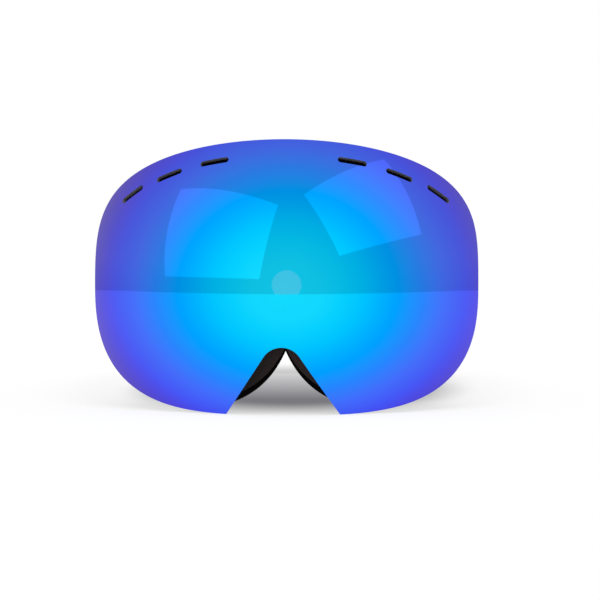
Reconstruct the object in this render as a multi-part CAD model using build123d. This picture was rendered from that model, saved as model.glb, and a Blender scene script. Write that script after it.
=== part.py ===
"""Frameless ski goggles with a spherical double lens, a flanged face frame, layered foam,
hinged strap arms and an elastic strap with two adjusters. Millimetres, +Z up, lens towards -Y.

The pieces are drawn about the lens: x = 0 is the plane of symmetry, y = 0 the front of the lens
and z = 0 the height of the lens's centre of curvature. The last section moves them all so that
the origin is at the middle of the base. Left and right are the wearer's, so left is +X.
"""

import os
from math import atan2, cos, hypot, radians, sin, sqrt, tan

from build123d import *

# ---------------------------------------------------------------- driving dimensions
LENS_WIDTH = 176.0          # across the widest part of the lens, seen from the front
LENS_TOP = 66.3             # lens edge above the centre of curvature
LENS_BOTTOM = 57.1          # lens edge below it
LENS_RADIUS = 108.0         # outside of the spherical lens
UPPER_SHAPE = (2.0, 3.7)    # superellipse exponents across and up, upper half
LOWER_SHAPE = (3.7, 2.65)   # the same, lower half

NOTCH_TOP = -26.0           # crown of the nose notch in the lens
NOTCH_ROUND = 9.5           # radius of that crown
NOTCH_FLANK = 33.5          # degrees between the notch's sides and the vertical
NOTCH_FLARE = 0.10          # how much the notch opens in the frame for each mm towards the face
SIDE_TAPER = 0.25           # how much each side of the frame closes in for each mm
TOP_TAPER = 0.20            # the same for the top

OUTER_LENS_WALL = 1.8
AIR_GAP = 4.5
INNER_LENS_WALL = 1.2
GASKET_INSET = 15.0         # from the outline to the sealed edge of the double lens
GASKET_WIDTH = 5.0

CARRIER_WALL = 2.2          # the ring bonded behind the outer lens
CARRIER_INSET = 1.5
CARRIER_GAP = 0.6           # between the ring and the gasket
SEAT_GAP = 0.25             # between the ring and the frame it snaps on to

FRONT_FLANGE = 2.4          # thickness of the frame's front flange
FRONT_FLANGE_INSET = 2.2
WEB_INSET = 8.7             # outside of the wall that joins the two flanges
WEB_WALL = 2.3
REAR_FLANGE = 2.0
REAR_FLANGE_INSET = 2.6

FACE_DEPTH = 57.0           # lens front to forehead, on the centre line
FACE_MARGIN = 7.0           # the face's curve, seen from above, is this much wider than the lens
FOAM_LAYERS = {"foam_base": 7.0, "foam_mid": 6.0, "foam_fleece": 2.0}
FOAM_INSET = 0.1
FOAM_INNER_INSET = 16.0
NOSE_TOP = -30.2            # where the two sides of the foam meet over the nose
NOSE_HALF_WIDTH = 30.0
NOSE_BULGE = 4.5            # how far each side of the nose opening bows towards the nose

VENT_LENGTH = 13.5          # slots through the lens
VENT_WIDTH = 2.9
# Each slot's place in degrees above the horizontal, its distance in from the rim, and how many
# degrees it is turned from the rim's own direction.
VENTS = ((61.2, 7.6, 0.0), (44.1, 8.0, 0.0), (31.0, 6.6, 7.0))
VENT_RELIEF = 0.9           # how much wider the slots behind the lens are, all round

PEG_RADIUS = 1.3
PEG_CLEARANCE = 0.2
PEG_REACH = 1.6             # beyond the back of the frame's flange
PEG_INSET = 5.2
PEG_ANGLES = (90.0, 50.0, 13.0, -14.0, -50.0)

WINDOW_DEPTH = 7.0          # vent windows in the web, measured front to back
TOP_WINDOWS = (0.0, 21.5, 43.0)
TOP_WINDOW_WIDTH = 17.0
LOW_WINDOWS = (38.0, 52.0)
LOW_WINDOW_WIDTH = 10.0
VENT_FOAM_WALL = 2.5
VENT_FOAM_GAP = 0.3

STRAP_WIDTH = 40.0
STRAP_THICKNESS = 1.5
STRAP_DROOP = 6.0           # degrees that the strap falls towards the back
STRAP_STRAIGHT = 115.0      # hinge pin to where the strap starts to curve
STRAP_FIT = 0.15            # free play of the strap on its bar

HINGE_INSET = 5.0           # hinge pin to the widest part of the lens
HINGE_BEHIND = 14.6         # and behind it
HINGE_Z = 5.0
PIN_RADIUS = 1.25
PIN_CLEARANCE = 0.05
PIN_HEAD_RADIUS = 2.3
PIN_HEAD = 1.0
BARREL_RADIUS = 3.2
BARREL_HEIGHT = 16.0
KNUCKLE_HEIGHT = 5.0
KNUCKLE_GAP = 0.3
ARM_THICKNESS = 2.8
BAR_REACH = 25.5            # hinge pin to strap bar
BAR_RADIUS = 1.5
RAIL_WIDTH = 4.0            # the arm beyond each edge of the strap
RAIL_GAP = 1.0
LOOP_END = 31.0             # the strap turns with its arm up to here
BAND_GAP = 1.0              # between that part and the rest of the strap

ADJUSTER_AT = 78.0          # hinge pin to the middle of the adjuster
ADJUSTER_LENGTH = 22.0
ADJUSTER_WALL = 1.3
ADJUSTER_FIT = 0.25
ADJUSTER_BAR = 0.8          # between the two layers of strap
ADJUSTER_RAIL = 3.5
TAIL_MERGE = 18.0           # length over which the inner layer closes up to the outer one
TAIL_END = 114.0            # hinge pin to the end of the inner layer
HEM_LENGTH = 7.0            # that end is folded over, so it cannot slip out of the adjuster
GRIP_LINES = (-11.0, 0.0, 11.0)
GRIP_WIDTH = 2.4
GRIP_HEIGHT = 0.6
GRIP_SWEEP = 62.0           # degrees to each side of the middle of the back

# ---------------------------------------------------------------- sizes that follow from them
HALF_WIDTH = LENS_WIDTH / 2
FRONT = -12.0               # the outlines are lofted between these two depths
BACK = 130.0
SIDE_DEPTH = LENS_RADIUS - sqrt(LENS_RADIUS**2 - HALF_WIDTH**2)
TOP_DEPTH = LENS_RADIUS - sqrt(LENS_RADIUS**2 - LENS_TOP**2)
CENTRE = Pos(0, LENS_RADIUS, 0)
FACE_RADIUS = HALF_WIDTH + FACE_MARGIN

R_GAP = LENS_RADIUS - OUTER_LENS_WALL
R_INNER_LENS = R_GAP - AIR_GAP
R_CAVITY = R_INNER_LENS - INNER_LENS_WALL
R_CARRIER = R_GAP - CARRIER_WALL
R_SEAT = R_CARRIER - SEAT_GAP
R_FLANGE = R_SEAT - FRONT_FLANGE
CARRIER_INNER_INSET = GASKET_INSET - CARRIER_GAP
FLANGE_INNER_INSET = WEB_INSET + WEB_WALL
FOAM_SEAT = FACE_DEPTH - sum(FOAM_LAYERS.values())

HINGE_X = HALF_WIDTH - HINGE_INSET
HINGE_Y = SIDE_DEPTH + HINGE_BEHIND
LAYER_OFFSET = BAR_RADIUS + STRAP_FIT + STRAP_THICKNESS / 2
BAND_X = HINGE_X + LAYER_OFFSET
TAIL_X = BAND_X - STRAP_THICKNESS - ADJUSTER_BAR - 2 * ADJUSTER_FIT
BAND_START = LOOP_END + BAND_GAP
ARM_HALF = STRAP_WIDTH / 2 + RAIL_GAP + RAIL_WIDTH
LOOP_REACH = LAYER_OFFSET + STRAP_THICKNESS / 2

# The strap, its arms and their pins share a plane that falls towards the back.
STRAP_PLANE = Plane(
    origin=(0, HINGE_Y, HINGE_Z),
    x_dir=(1, 0, 0),
    z_dir=(0, sin(radians(STRAP_DROOP)), cos(radians(STRAP_DROOP))),
)


# ---------------------------------------------------------------- outlines
def rim_point(angle, across, up, shape):
    """The point of a superellipse quadrant that lies at this angle above the horizontal."""
    cx, cz = cos(radians(angle)), sin(radians(angle))
    low, high = 0.0, 2 * max(across, up)
    for _ in range(60):
        r = (low + high) / 2
        if (r * cx / across) ** shape[0] + (r * cz / up) ** shape[1] < 1:
            low = r
        else:
            high = r
    return r * cx, r * cz


def rim_size(y, inset, taper):
    """Half width, top and bottom of the outline at this depth; taper is 1 for all, 0 for none."""
    across = HALF_WIDTH - taper * SIDE_TAPER * (y - SIDE_DEPTH) - inset
    top = LENS_TOP - taper * TOP_TAPER * (y - TOP_DEPTH) - inset
    return across, top, LENS_BOTTOM - inset


def upper_edge(y, inset, taper, steps=8):
    """The brow of the outline, from its left side over the top to its right side."""
    across, top, _ = rim_size(y, inset, taper)
    half = [rim_point(90 * k / steps, across, top, UPPER_SHAPE) for k in range(steps + 1)]
    right = [(x, y, z) for x, z in half]
    left = [(-x, y, z) for x, z in half[:-1]]
    return Spline(*left, *reversed(right), tangents=((0, 0, 1), (0, 0, -1)))


def lower_edge(y, inset, corner_angle, taper, steps=8):
    """The right cheek of the outline, from the side down to the nose."""
    across, _, bottom = rim_size(y, inset, taper)
    angles = [corner_angle * k / steps for k in range(steps + 1)]
    points = [rim_point(a, across, bottom, LOWER_SHAPE) for a in angles]
    x2, z2 = rim_point(corner_angle + 0.5, across, bottom, LOWER_SHAPE)
    end = (x2 - points[-1][0], 0, points[-1][1] - z2)
    return Spline(*[(x, y, -z) for x, z in points], tangents=((0, 0, -1), end))


def corner(y, inset, side_x, taper):
    """The angle at which the cheek meets a nose opening whose side is at side_x(z)."""
    across, _, bottom = rim_size(y, inset, taper)
    low, high = 20.0, 89.0
    for _ in range(60):
        angle = (low + high) / 2
        x, z = rim_point(angle, across, bottom, LOWER_SHAPE)
        if x > side_x(-z):
            low = angle
        else:
            high = angle
    return angle


def closed_outline(brow, half):
    """One wire from the brow and the curves that follow it on the right, mirrored to the left."""
    curves = [brow] + half + [mirror(c, Plane.YZ) for c in half if c.bounding_box().min.X > -1e-6]
    return Wire([edge for curve in curves for edge in curve.edges()])


def frame_outline(y, inset, taper=1):
    """The outline of the frame at this depth: brow, cheeks and a rounded nose notch."""
    flank = radians(NOTCH_FLANK)
    crown = NOTCH_ROUND + inset + taper * NOTCH_FLARE * y
    middle = NOTCH_TOP - NOTCH_ROUND
    end_x, end_z = crown * cos(flank), middle + crown * sin(flank)
    angle = corner(y, inset, lambda z: end_x + (end_z - z) * tan(flank), taper)
    cheek = lower_edge(y, inset, angle, taper)
    side = Line(cheek @ 1, (end_x, y, end_z))
    arch = ThreePointArc((end_x, y, end_z), (0, y, middle + crown), (-end_x, y, end_z))
    return closed_outline(upper_edge(y, inset, taper), [cheek, side, arch])


def lens_outline(y, inset):
    """The outline of the lens and what is bonded to it, the same at every depth."""
    return frame_outline(y, inset, taper=0)


def foam_outline(y, inset):
    """The outline of the foam: as the frame, but its two sides meet in a point over the nose."""
    spread = inset + NOTCH_FLARE * (y - FOAM_SEAT)
    top = (0, y, NOSE_TOP + spread)
    foot_x = NOSE_HALF_WIDTH + spread
    run, drop = foot_x, LENS_BOTTOM + NOSE_TOP
    length = hypot(run, drop)
    bow = (
        run / 2 - NOSE_BULGE * drop / length,
        y,
        NOSE_TOP + spread - drop / 2 - NOSE_BULGE * run / length,
    )
    cheek = lower_edge(y, inset, corner(y, inset, lambda z: foot_x, 1), 1)
    side = ThreePointArc(cheek @ 1, bow, top)
    return closed_outline(upper_edge(y, inset, 1), [cheek, side])


def plug(inset, outline=frame_outline):
    """The solid that fills an outline from in front of the lens to behind the face."""
    return Solid.make_loft([outline(FRONT, inset), outline(BACK, inset)], ruled=True)


def ring(outer, inner, outline=frame_outline, hole=frame_outline):
    """What lies between an inset of one outline and a deeper inset of another."""
    return plug(outer, outline) - plug(inner, hole)


# ---------------------------------------------------------------- shaped spaces
def ball(radius):
    """Everything behind a spherical surface about the lens's centre of curvature."""
    return CENTRE * Sphere(radius) + Pos(0, LENS_RADIUS + BACK / 2, 0) * Cylinder(
        radius, BACK, rotation=(90, 0, 0)
    )


def shell(outside, inside):
    """The front half of a spherical wall."""
    front = Pos(0, LENS_RADIUS / 2, 0) * Box(4 * LENS_RADIUS, LENS_RADIUS, 4 * LENS_RADIUS)
    return (CENTRE * Sphere(outside) - CENTRE * Sphere(inside)) & front


def face(depth):
    """The space in front of the face's curve, which passes through this depth."""
    far = 4 * LENS_RADIUS
    block = Pos(0, depth + FACE_RADIUS - far / 2, 0) * Box(far, far, far)
    return block - Pos(0, depth + FACE_RADIUS, 0) * Cylinder(FACE_RADIUS, far)


def face_depth(x, depth):
    """How deep the face's curve lies at this distance from the middle."""
    return depth + FACE_RADIUS - sqrt(FACE_RADIUS**2 - x**2)


def lens_depth(x, z, radius):
    return LENS_RADIUS - sqrt(radius**2 - x**2 - z**2)


def rim_place(angle, inset):
    """The point on the lens at this angle round the rim, and the rim's direction there."""
    shape = UPPER_SHAPE if angle >= 0 else LOWER_SHAPE
    sign = 1 if angle >= 0 else -1

    def at(a):
        up = (LENS_TOP if angle >= 0 else LENS_BOTTOM) - inset
        x, z = rim_point(abs(a), HALF_WIDTH - inset, up, shape)
        return x, sign * z

    x, z = at(angle)
    x2, z2 = at(angle - 0.5 if angle > 45 else angle + 0.5)
    direction = atan2(z2 - z, x2 - x)
    return x, z, direction


def both_sides(shape):
    """A shape and its mirror image in the plane of symmetry."""
    return shape + mirror(shape, Plane.YZ)


# ---------------------------------------------------------------- lens unit
def vent_slots(relief):
    """Cutters for the slots along the brow, each square to the lens where it lies."""
    cutters = Part()
    for angle, inset, turn in VENTS:
        x, z, direction = rim_place(angle, inset)
        y = lens_depth(x, z, LENS_RADIUS)
        run, rise = cos(direction + radians(turn)), sin(direction + radians(turn))
        along = Vector(run, (x * run + z * rise) / (LENS_RADIUS - y), rise)
        place = Plane(origin=(x, y, z), x_dir=along, z_dir=(x, y - LENS_RADIUS, z))
        slot = SlotOverall(VENT_LENGTH + 2 * relief, VENT_WIDTH + 2 * relief)
        cutters += place * extrude(slot, amount=9, both=True)
    return both_sides(cutters)


def pegs(radius, lead):
    """Posts that stand along Y round the rim, from this far in front of the carrier's back."""
    posts = Part()
    for angle in PEG_ANGLES:
        x, z, _ = rim_place(angle, PEG_INSET)
        start = lens_depth(x, z, R_CARRIER) - lead
        end = lens_depth(x, z, R_FLANGE) + PEG_REACH
        post = Cylinder(radius, end - start, rotation=(90, 0, 0))
        posts += Pos(x, (start + end) / 2, z) * post
        if x > radius:
            posts += Pos(-x, (start + end) / 2, z) * post
    return posts


def outer_lens():
    return (shell(LENS_RADIUS, R_GAP) & plug(0, lens_outline)) - vent_slots(0)


def inner_lens():
    return shell(R_INNER_LENS, R_CAVITY) & plug(GASKET_INSET, lens_outline)


def lens_gasket():
    seal = ring(GASKET_INSET, GASKET_INSET + GASKET_WIDTH, lens_outline, lens_outline)
    return shell(R_GAP, R_INNER_LENS) & seal


def lens_carrier():
    band = ring(CARRIER_INSET, CARRIER_INNER_INSET, lens_outline, lens_outline)
    body = (shell(R_GAP, R_CARRIER) & band) - vent_slots(VENT_RELIEF)
    return body + pegs(PEG_RADIUS, CARRIER_WALL / 2)


# ---------------------------------------------------------------- face frame
def window_cutters():
    """Cutters for the vent windows through the top and bottom of the web."""
    cutters = Part()
    height = 3 * FLANGE_INNER_INSET
    for places, width, edge in (
        (TOP_WINDOWS, TOP_WINDOW_WIDTH, LENS_TOP),
        (LOW_WINDOWS, LOW_WINDOW_WIDTH, -LENS_BOTTOM),
    ):
        middle_z = edge * 0.8
        for x in places:
            front = lens_depth(x, middle_z, R_FLANGE)
            back = face_depth(x, FOAM_SEAT - REAR_FLANGE)
            window = Box(width, WINDOW_DEPTH, height)
            window = fillet(window.edges().filter_by(Axis.Z), WINDOW_DEPTH * 0.3)
            cutters += Pos(x, (front + back) / 2, middle_z) * window
    return both_sides(cutters)


def knuckles():
    """The two lugs at +X that hold the hinge pin, in the strap's plane."""
    lugs = Part()
    for side in (-1, 1):
        w = side * (BARREL_HEIGHT / 2 + KNUCKLE_GAP + KNUCKLE_HEIGHT / 2)
        root = HALF_WIDTH - WEB_INSET - WEB_WALL - 4
        lugs += Pos(HINGE_X, 0, w) * Cylinder(BARREL_RADIUS, KNUCKLE_HEIGHT)
        lugs += Pos((root + HINGE_X) / 2, 0, w) * Box(
            HINGE_X - root, 2 * BARREL_RADIUS, KNUCKLE_HEIGHT
        )
    bore = Cylinder(PIN_RADIUS, 4 * BARREL_HEIGHT)
    return STRAP_PLANE * (lugs - Pos(HINGE_X, 0, 0) * bore)


def face_frame():
    front = shell(R_SEAT, R_FLANGE) & ring(FRONT_FLANGE_INSET, FLANGE_INNER_INSET, lens_outline)
    rear = ring(REAR_FLANGE_INSET, FOAM_INNER_INSET, foam_outline) & face(FOAM_SEAT)
    rear = (rear - face(FOAM_SEAT - REAR_FLANGE)) & ball(R_SEAT)
    web = ring(WEB_INSET, WEB_INSET + WEB_WALL)
    web = web & ball(R_SEAT - FRONT_FLANGE / 2) & face(FOAM_SEAT - REAR_FLANGE / 2)
    lugs = both_sides(knuckles()) - plug(WEB_INSET + WEB_WALL)
    frame = web + front + rear + lugs - window_cutters()
    holes = pegs(PEG_RADIUS + PEG_CLEARANCE, 3 * PEG_RADIUS)
    return frame - vent_slots(VENT_RELIEF) - holes


def vent_foam():
    """The strip behind the vent windows, all the way round inside the web."""
    inset = WEB_INSET + WEB_WALL + VENT_FOAM_GAP
    strip = ring(inset, inset + VENT_FOAM_WALL)
    depth = FOAM_SEAT - REAR_FLANGE - VENT_FOAM_GAP
    return strip & CENTRE * Sphere(R_CAVITY - 1.5) & face(depth)


def vent_foam_top():
    reach = TOP_WINDOWS[-1] + TOP_WINDOW_WIDTH * 0.75
    return vent_foam() & Pos(0, BACK / 2, LENS_TOP) * Box(2 * reach, BACK, 1.6 * LENS_TOP)


def vent_foam_low():
    start = LOW_WINDOWS[0] - LOW_WINDOW_WIDTH * 0.8
    end = LOW_WINDOWS[-1] + LOW_WINDOW_WIDTH * 0.8
    keep = Pos((start + end) / 2, BACK / 2, -LENS_BOTTOM) * Box(end - start, BACK, LENS_BOTTOM)
    return vent_foam() & both_sides(keep)


def foam_layer(start, thickness):
    layer = ring(FOAM_INSET, FOAM_INNER_INSET, foam_outline)
    return (layer & face(start + thickness)) - face(start)


# ---------------------------------------------------------------- strap and arms, at +X
def hinge_pin():
    top = BARREL_HEIGHT / 2 + KNUCKLE_GAP + KNUCKLE_HEIGHT
    pin = Cylinder(PIN_RADIUS, 2 * top + PIN_HEAD)
    pin += Pos(0, 0, top + PIN_HEAD / 2) * Cylinder(PIN_HEAD_RADIUS, PIN_HEAD)
    pin += Pos(0, 0, -top - PIN_HEAD / 2) * Cylinder(PIN_RADIUS, PIN_HEAD)
    return STRAP_PLANE * Pos(HINGE_X, 0, 0) * pin


def strap_arm():
    slot_front = BAR_REACH - LOOP_REACH - 2.0
    wide = slot_front - 4.0
    half = BARREL_HEIGHT / 2
    profile = Polyline(
        (0, half), (BARREL_RADIUS + 1, half), (wide, ARM_HALF), (BAR_REACH + 1.0, ARM_HALF),
        (BAR_REACH + 1.0, -ARM_HALF), (wide, -ARM_HALF), (BARREL_RADIUS + 1, -half), (0, -half),
        close=True,
    )
    corners = make_face(profile)
    outer = corners.vertices().filter_by(lambda v: abs(v.Y) > half + 1)
    plate = fillet(outer, 3.0)
    plate = Plane.YZ * extrude(plate, amount=ARM_THICKNESS / 2, both=True)
    window_height = STRAP_WIDTH + 2 * RAIL_GAP
    window = Box(3 * ARM_THICKNESS, BAR_REACH + 5 - slot_front, window_height)
    window = Pos(0, (BAR_REACH + 5 + slot_front) / 2, 0) * window
    arm = plate - window
    arm += Pos(0, BAR_REACH, 0) * Cylinder(BAR_RADIUS, window_height + RAIL_WIDTH)
    arm += Cylinder(BARREL_RADIUS, BARREL_HEIGHT)
    arm -= Cylinder(PIN_RADIUS + PIN_CLEARANCE, 2 * BARREL_HEIGHT)
    return STRAP_PLANE * Pos(HINGE_X, 0, 0) * arm


def webbing(path):
    """Strap cloth standing on edge along a path drawn in the strap's plane."""
    start = path @ 0
    across = (path % 0).cross(Vector(0, 0, 1))
    section = Plane(origin=start, x_dir=across, z_dir=path % 0) * Rectangle(
        STRAP_THICKNESS, STRAP_WIDTH
    )
    return sweep(section, path=path)


def strap_loop():
    """The part of the strap that turns with the arm: once round the bar, both layers."""
    turn = Line((BAND_X, LOOP_END), (BAND_X, BAR_REACH))
    turn += ThreePointArc(
        (BAND_X, BAR_REACH),
        (HINGE_X, BAR_REACH - LAYER_OFFSET),
        (HINGE_X - LAYER_OFFSET, BAR_REACH),
    )
    turn += Line((HINGE_X - LAYER_OFFSET, BAR_REACH), (HINGE_X - LAYER_OFFSET, LOOP_END))
    return STRAP_PLANE * webbing(turn)


def strap_tail():
    """The inner layer: it closes up to the outer one and ends in a folded hem against it."""
    start = (HINGE_X - LAYER_OFFSET, BAND_START)
    bend = (TAIL_X, BAND_START + TAIL_MERGE)
    layer = webbing(FilletPolyline(start, bend, (TAIL_X, TAIL_END), radius=30))
    inside = TAIL_X - STRAP_THICKNESS / 2
    outside = BAND_X - STRAP_THICKNESS / 2
    hem = Box(outside - inside, HEM_LENGTH, STRAP_WIDTH)
    hem = Pos((outside + inside) / 2, TAIL_END - HEM_LENGTH / 2, 0) * hem
    return STRAP_PLANE * (layer + hem)


def strap_band():
    path = Line((BAND_X, BAND_START), (BAND_X, STRAP_STRAIGHT))
    path += ThreePointArc(
        (BAND_X, STRAP_STRAIGHT), (0, STRAP_STRAIGHT + BAND_X), (-BAND_X, STRAP_STRAIGHT)
    )
    path += Line((-BAND_X, STRAP_STRAIGHT), (-BAND_X, BAND_START))
    return STRAP_PLANE * webbing(path)


def strap_grip():
    """Silicone beads on the inside of the strap, round the back of the head."""
    inside = BAND_X - STRAP_THICKNESS / 2
    lines = Part()
    for w in GRIP_LINES:
        bead = Cylinder(inside, GRIP_WIDTH) - Cylinder(inside - GRIP_HEIGHT, 2 * GRIP_WIDTH)
        reach = 2 * inside
        spread = reach * tan(radians(GRIP_SWEEP))
        wedge = make_face(Polyline((0, 0), (spread, reach), (-spread, reach), close=True))
        bead &= extrude(wedge, amount=GRIP_WIDTH, both=True)
        lines += Pos(0, STRAP_STRAIGHT, w) * bead
    return STRAP_PLANE * lines


def strap_adjuster():
    """A three-bar slider: each layer of the strap has its own slot."""
    slot_height = STRAP_WIDTH + 2 * ADJUSTER_FIT
    height = slot_height + 2 * ADJUSTER_RAIL
    slot = STRAP_THICKNESS + 2 * ADJUSTER_FIT
    outside = BAND_X + slot / 2 + ADJUSTER_WALL
    inside = TAIL_X - slot / 2 - ADJUSTER_WALL
    block = Box(outside - inside, ADJUSTER_LENGTH, height)
    block = fillet(block.edges().filter_by(Axis.X), 4.0)
    block = Pos((outside + inside) / 2, ADJUSTER_AT, 0) * block
    for x in (BAND_X, TAIL_X):
        block -= Pos(x, ADJUSTER_AT, 0) * Box(slot, 2 * ADJUSTER_LENGTH, slot_height)
    opening = Box(outside - BAND_X + 1, ADJUSTER_LENGTH * 0.32, slot_height)
    for side in (-1, 1):
        at = ADJUSTER_AT + side * ADJUSTER_LENGTH * 0.235
        block -= Pos((outside + BAND_X) / 2 + 0.5, at, 0) * opening
    return STRAP_PLANE * block


# ---------------------------------------------------------------- assembly and export
def build():
    pieces = {
        "outer_lens": outer_lens(),
        "lens_gasket": lens_gasket(),
        "inner_lens": inner_lens(),
        "lens_carrier": lens_carrier(),
        "face_frame": face_frame(),
        "vent_foam_top": vent_foam_top(),
        "vent_foam_low": vent_foam_low(),
        "strap_band": strap_band(),
        "strap_grip": strap_grip(),
    }
    start = FOAM_SEAT
    for name, thickness in FOAM_LAYERS.items():
        pieces[name] = foam_layer(start, thickness)
        start += thickness
    for name, piece in {
        "hinge_pin": hinge_pin(),
        "strap_arm": strap_arm(),
        "strap_loop": strap_loop(),
        "strap_tail": strap_tail(),
        "strap_adjuster": strap_adjuster(),
    }.items():
        pieces[name + "_left"] = piece
        pieces[name + "_right"] = mirror(piece, Plane.YZ)
    return pieces


def main():
    os.makedirs("parts", exist_ok=True)
    pieces = build()
    box = Compound(children=[Compound(p.solids()) for p in pieces.values()]).bounding_box()
    to_base = Pos(0, -(box.min.Y + box.max.Y) / 2, -box.min.Z)
    print("moved by", to_base.position, "box", box.size)
    for name, piece in pieces.items():
        solids = [to_base * s for s in piece.solids()]
        shape = solids[0] if len(solids) == 1 else Compound(solids)
        export_step(shape, os.path.join("parts", name + ".step"))


main()
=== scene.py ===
# %% [markdown]
# # Frameless ski goggles, dressed for a product picture
#
# The goggles arrive as a bare frame of solid parts: a lens, a face frame, foam, hinged arms and
# a strap, all at their real size, in metres. This script keeps that frame where it is and gives
# it its looks: a mirrored lens with polished edges, moulded plastic, open-cell foam with a
# brushed fleece face, and a woven elastic strap.
#
# Every new piece is placed from the sizes of the frame itself, so nothing has to be fitted by eye.

# %% Load the frame
import math

import bmesh
import bpy
from mathutils import Matrix, Vector


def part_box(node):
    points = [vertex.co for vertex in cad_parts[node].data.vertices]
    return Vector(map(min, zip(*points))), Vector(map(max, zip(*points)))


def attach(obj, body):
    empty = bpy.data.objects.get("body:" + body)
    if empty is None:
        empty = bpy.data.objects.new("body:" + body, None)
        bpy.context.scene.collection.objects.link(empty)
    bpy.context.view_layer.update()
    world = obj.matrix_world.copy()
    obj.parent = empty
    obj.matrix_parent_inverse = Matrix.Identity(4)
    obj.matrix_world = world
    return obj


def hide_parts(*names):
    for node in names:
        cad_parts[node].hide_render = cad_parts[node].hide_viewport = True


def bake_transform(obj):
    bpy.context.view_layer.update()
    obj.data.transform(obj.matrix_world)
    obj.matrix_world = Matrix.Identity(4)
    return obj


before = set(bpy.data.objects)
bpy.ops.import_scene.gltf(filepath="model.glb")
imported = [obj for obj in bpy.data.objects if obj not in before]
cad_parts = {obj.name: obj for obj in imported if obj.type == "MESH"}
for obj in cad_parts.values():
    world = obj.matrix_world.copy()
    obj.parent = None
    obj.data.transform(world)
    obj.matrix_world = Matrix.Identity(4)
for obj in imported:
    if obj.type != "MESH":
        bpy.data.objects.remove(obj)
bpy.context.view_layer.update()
mm = 0.001
lens_low, lens_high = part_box("outer_lens")

# %% [markdown]
# ## The shape of the lens
#
# The lens is a piece of a sphere, cut to an outline that is nearly an ellipse: a little squarer at
# the brow and the cheeks, with a notch for the nose. One function gives a point of that outline
# for any distance in from the edge and any depth, because the lens, its rings and the foam
# behind it all follow the same curve. A superellipse does this with four numbers for each half,
# where a traced spline would need dozens.

# %% Driving sizes of the outline
half_width = (lens_high.x - lens_low.x) / 2
lens_radius = 108 * mm
lens_bottom = 57.1 * mm
lens_top = 66.3 * mm
lens_front = lens_low.y
hub_height = lens_high.z - lens_top           # the height of the sphere's centre
upper_shape = (2.0, 3.7)
lower_shape = (3.7, 2.65)
notch_top, notch_round, notch_flank = -26 * mm, 9.5 * mm, math.radians(33.5)
notch_flare, side_taper, top_taper = 0.10, 0.25, 0.20
side_depth = lens_radius - math.sqrt(lens_radius**2 - half_width**2)
top_depth = lens_radius - math.sqrt(lens_radius**2 - lens_top**2)
print("lens half width", round(half_width / mm, 1), "mm, rim depth", round(side_depth / mm, 1))


# %% Points of the outline
def oval_reach(angle, across, up, shape):
    """How far a superellipse quadrant reaches at this angle above the horizontal."""
    low, high = 0.0, 2 * max(across, up)
    for _ in range(40):
        reach = (low + high) / 2
        value = (reach * math.cos(angle) / across) ** shape[0]
        value += (reach * math.sin(angle) / up) ** shape[1]
        low, high = (reach, high) if value < 1 else (low, reach)
    return reach


def brow_point(angle, inset, depth):
    """A point of the upper half; without a depth the outline is the lens's, which has no taper."""
    across, up = half_width - inset, lens_top - inset
    if depth is not None:
        across -= side_taper * (depth - side_depth)
        up -= top_taper * (depth - top_depth)
    reach = oval_reach(angle, across, up, upper_shape)
    return reach * math.cos(angle), reach * math.sin(angle)


def cheek_point(angle, inset, depth):
    across = half_width - inset - (0 if depth is None else side_taper * (depth - side_depth))
    reach = oval_reach(angle, across, lens_bottom - inset, lower_shape)
    return reach * math.cos(angle), -reach * math.sin(angle)


def cheek_corner(inset, depth, side_x):
    """The angle at which the cheek meets a nose opening whose side is at side_x(z)."""
    low, high = math.radians(20), math.radians(89)
    for _ in range(40):
        angle = (low + high) / 2
        x, z = cheek_point(angle, inset, depth)
        low, high = (angle, high) if x > side_x(z) else (low, angle)
    return angle


# %% Half an outline, with the lens's rounded nose notch
def share_out(count):
    return [k / count for k in range(count)]


def notch_half(steps, inset, depth=None):
    """From the middle of the brow down the +X side, to the crown of the notch."""
    crown = notch_round + inset + notch_flare * (depth or 0)
    middle = notch_top - notch_round
    end_x, end_z = crown * math.cos(notch_flank), middle + crown * math.sin(notch_flank)
    corner = cheek_corner(inset, depth, lambda z: end_x + (end_z - z) * math.tan(notch_flank))
    foot = cheek_point(corner, inset, depth)
    quarter = math.radians(90)
    points = [brow_point(quarter * (1 - t), inset, depth) for t in share_out(steps[0])]
    points += [cheek_point(corner * t, inset, depth) for t in share_out(steps[1])]
    straight = steps[2] // 2
    points += [(foot[0] + (end_x - foot[0]) * t, foot[1] + (end_z - foot[1]) * t)
               for t in share_out(straight)]
    turns = [notch_flank + (quarter - notch_flank) * t for t in share_out(steps[2] - straight)]
    points += [(crown * math.cos(a), middle + crown * math.sin(a)) for a in turns + [quarter]]
    return points


outline_steps = (64, 40, 24)
outline = notch_half(outline_steps, 0)
print("outline:", len(outline), "points a side, foot of the notch at",
      [round(c / mm, 1) for c in outline[outline_steps[0] + outline_steps[1]]], "mm")

# %% [markdown]
# ## Helpers for meshes
#
# A new piece starts as a bmesh. These two small functions turn it into an object that sits at the
# origin with its place in its mesh, and shade it smooth where it curves and sharp where it turns.


# %% From bmesh to object
def make_piece(name, bm, sharp_degrees=35):
    mesh = bpy.data.meshes.new(name)
    bmesh.ops.remove_doubles(bm, verts=bm.verts, dist=1e-7)
    bmesh.ops.recalc_face_normals(bm, faces=bm.faces)
    for face in bm.faces:
        face.smooth = True
    for edge in bm.edges:
        if len(edge.link_faces) == 2:
            edge.smooth = edge.calc_face_angle(0) < math.radians(sharp_degrees)
    bm.to_mesh(mesh)
    bm.free()
    piece = bpy.data.objects.new(name, mesh)
    bpy.context.scene.collection.objects.link(piece)
    print(name, len(mesh.vertices), "vertices")
    return piece


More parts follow.
